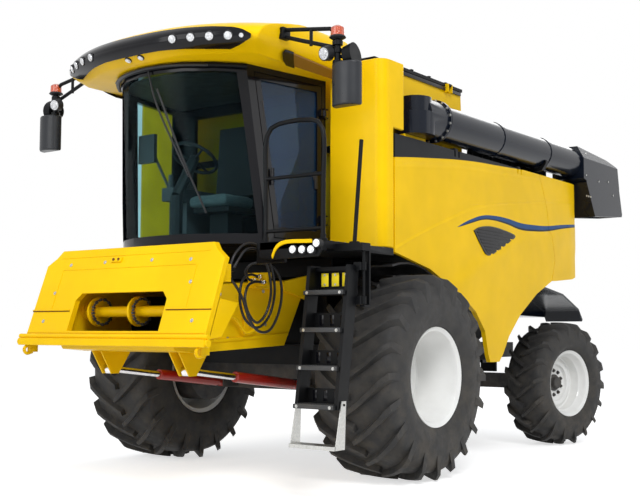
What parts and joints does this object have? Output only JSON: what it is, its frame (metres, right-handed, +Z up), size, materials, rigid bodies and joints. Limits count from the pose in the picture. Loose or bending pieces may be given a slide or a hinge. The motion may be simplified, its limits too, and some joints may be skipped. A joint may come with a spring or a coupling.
{
  "type": "combine harvester",
  "caption": "Self-propelled grain combine without its header: cab, grain tank, folded unloading auger, feeder house and wide front tyres.",
  "frame": {"origin": "on the ground under the middle of the machine's footprint", "axes": "+Z up, the machine's front faces -Y and its left side, with the ladder and the unloading auger, is +X"},
  "size_m": [3.76, 7, 3.88],
  "materials": {
    "yellow": "gloss",
    "black": "satin",
    "navy": "gloss",
    "cream": "satin",
    "tyre": "matte",
    "hose": "satin",
    "steel": "satin",
    "glass": "gloss",
    "fabric": "woven",
    "red": "gloss",
    "plastic": "matte",
    "iron": "matte"
  },
  "bodies": {
    "machine": {"chassis_frame": "black", "front_axle": "iron", "rear_axle": "iron", "threshing_housing": "yellow", "body_frame": "yellow", "engine_block": "iron", "engine_hood": "black", "straw_chopper": "navy", "front_fender_left": "plastic", "front_fender_right": "plastic", "rear_hood": "yellow", "front_column_left": "yellow", "front_column_right": "yellow", "grain_tank": "yellow", "tank_extension": "yellow", "cab_body": "black", "cab_roof": "yellow", "windscreen": "glass", "window_right": "glass", "window_rear": "glass", "seat_frame": "black", "seat_cushion": "fabric", "steering_column": "plastic", "arm_console": "plastic", "platform": "black", "mirror_left": "plastic", "mirror_right": "plastic"},
    "feeder": {"feeder_house": "yellow", "feeder_face": "yellow", "hose_1": "hose", "hose_2": "hose", "hose_3": "hose"},
    "feeder_drum": {"feeder_drum": "yellow"},
    "auger": {"auger_tube": "navy", "auger_spout": "navy"},
    "cab_door": {"cab_door": "black", "door_glass": "glass"},
    "ladder": {"ladder": "black"},
    "ladder_step": {"ladder_step": "steel"},
    "steering_wheel": {"steering_wheel": "plastic"},
    "front_wheel_left": {"front_tyre_left": "tyre", "front_rim_left": "cream"},
    "rear_knuckle_left": {"rear_knuckle_left": "iron"},
    "rear_wheel_left": {"rear_tyre_left": "tyre", "rear_rim_left": "cream"},
    "lift_barrel_left": {"lift_barrel_left": "red"},
    "lift_rod_left": {"lift_rod_left": "steel"},
    "tank_cover_left": {"tank_cover_left": "black"},
    "side_panel_left": {"side_panel_upper_left": "yellow", "side_panel_lower_left": "yellow"},
    "front_wheel_right": {"front_tyre_right": "tyre", "front_rim_right": "cream"},
    "rear_knuckle_right": {"rear_knuckle_right": "iron"},
    "rear_wheel_right": {"rear_tyre_right": "tyre", "rear_rim_right": "cream"},
    "lift_barrel_right": {"lift_barrel_right": "red"},
    "lift_rod_right": {"lift_rod_right": "steel"},
    "tank_cover_right": {"tank_cover_right": "black"},
    "side_panel_right": {"side_panel_upper_right": "yellow", "side_panel_lower_right": "yellow"}
  },
  "joints": [
    {"name": "front_wheel_spin_left", "type": "hinge", "parent": "machine", "child": "front_wheel_left", "pos_m": [1.37, -1.26, 0.8923], "axis": [1, 0, 0], "continuous": true},
    {"name": "front_wheel_spin_right", "type": "hinge", "parent": "machine", "child": "front_wheel_right", "pos_m": [-1.37, -1.26, 0.8923], "axis": [1, 0, 0], "continuous": true},
    {"name": "rear_steer_left", "type": "hinge", "parent": "machine", "child": "rear_knuckle_left", "pos_m": [0.905, 2.388, 0.705], "axis": [0, 0, 1], "range_deg": [-23.3, 46.7]},
    {"name": "rear_wheel_spin_left", "type": "hinge", "parent": "rear_knuckle_left", "child": "rear_wheel_left", "pos_m": [1.233, 2.3201, 0.699], "axis": [0.9792, -0.2028, 0], "continuous": true},
    {"name": "rear_steer_right", "type": "hinge", "parent": "machine", "child": "rear_knuckle_right", "pos_m": [-0.905, 2.388, 0.705], "axis": [0, 0, 1], "range_deg": [-23.3, 46.7]},
    {"name": "rear_wheel_spin_right", "type": "hinge", "parent": "rear_knuckle_right", "child": "rear_wheel_right", "pos_m": [-1.233, 2.4559, 0.699], "axis": [0.9792, -0.2028, 0], "continuous": true},
    {"name": "feeder_lift", "type": "hinge", "parent": "machine", "child": "feeder", "pos_m": [0, -1.59, 1.74], "axis": [-1, 0, 0], "range_deg": [-28, 3]},
    {"name": "feeder_drum_spin", "type": "hinge", "parent": "feeder", "child": "feeder_drum", "pos_m": [0, -3.12, 1.44], "axis": [1, 0, 0], "continuous": true},
    {"name": "lift_barrel_tilt_left", "type": "hinge", "parent": "machine", "child": "lift_barrel_left", "pos_m": [0.45, -1.59, 0.8], "axis": [-1, 0, 0], "range_deg": [-31, 4]},
    {"name": "lift_rod_slide_left", "type": "slide", "parent": "lift_barrel_left", "child": "lift_rod_left", "axis": [0, -0.9937, 0.112], "range_m": [-0.45, 0.05]},
    {"name": "lift_barrel_tilt_right", "type": "hinge", "parent": "machine", "child": "lift_barrel_right", "pos_m": [-0.45, -1.59, 0.8], "axis": [-1, 0, 0], "range_deg": [-31, 4]},
    {"name": "lift_rod_slide_right", "type": "slide", "parent": "lift_barrel_right", "child": "lift_rod_right", "axis": [0, -0.9937, 0.112], "range_m": [-0.45, 0.05]},
    {"name": "auger_swing", "type": "hinge", "parent": "machine", "child": "auger", "pos_m": [1.44, -1.13, 3.2], "axis": [0, 0, -1], "range_deg": [0, 105]},
    {"name": "cab_door_swing", "type": "hinge", "parent": "machine", "child": "cab_door", "pos_m": [0.922, -1.808, 2.7], "axis": [0, 0, 1], "range_deg": [0, 80]},
    {"name": "ladder_swing", "type": "hinge", "parent": "machine", "child": "ladder", "pos_m": [1.83, -2.535, 1.6], "axis": [0, 0, 1], "range_deg": [0, 90]},
    {"name": "ladder_step_fold", "type": "hinge", "parent": "ladder", "child": "ladder_step", "pos_m": [1.585, -2.7499, 0.735], "axis": [-1, 0, 0], "range_deg": [0, 125]},
    {"name": "tank_cover_lift_left", "type": "hinge", "parent": "machine", "child": "tank_cover_left", "pos_m": [1.282, -0.71, 3.712], "axis": [0, 1, 0], "range_deg": [0, 105]},
    {"name": "tank_cover_lift_right", "type": "hinge", "parent": "machine", "child": "tank_cover_right", "pos_m": [-1.282, -0.71, 3.712], "axis": [0, -1, 0], "range_deg": [0, 105]},
    {"name": "side_panel_lift_left", "type": "hinge", "parent": "machine", "child": "side_panel_left", "pos_m": [1.478, -0.06, 3.012], "axis": [0, -1, 0], "range_deg": [0, 70]},
    {"name": "side_panel_lift_right", "type": "hinge", "parent": "machine", "child": "side_panel_right", "pos_m": [-1.478, -0.06, 3.012], "axis": [0, 1, 0], "range_deg": [0, 70]},
    {"name": "steering_wheel_turn", "type": "hinge", "parent": "machine", "child": "steering_wheel", "pos_m": [0, -2.48, 2.8], "axis": [0, 0.5299, 0.848], "continuous": true}
  ],
  "couplings": [
    {"joint": "rear_steer_right", "follows": "rear_steer_left", "ratio": 1},
    {"joint": "lift_barrel_tilt_left", "follows": "feeder_lift", "ratio": 1.1},
    {"joint": "lift_rod_slide_left", "follows": "feeder_lift", "m_per_rad": 0.9196},
    {"joint": "lift_barrel_tilt_right", "follows": "feeder_lift", "ratio": 1.1},
    {"joint": "lift_rod_slide_right", "follows": "feeder_lift", "m_per_rad": 0.9196}
  ]
}
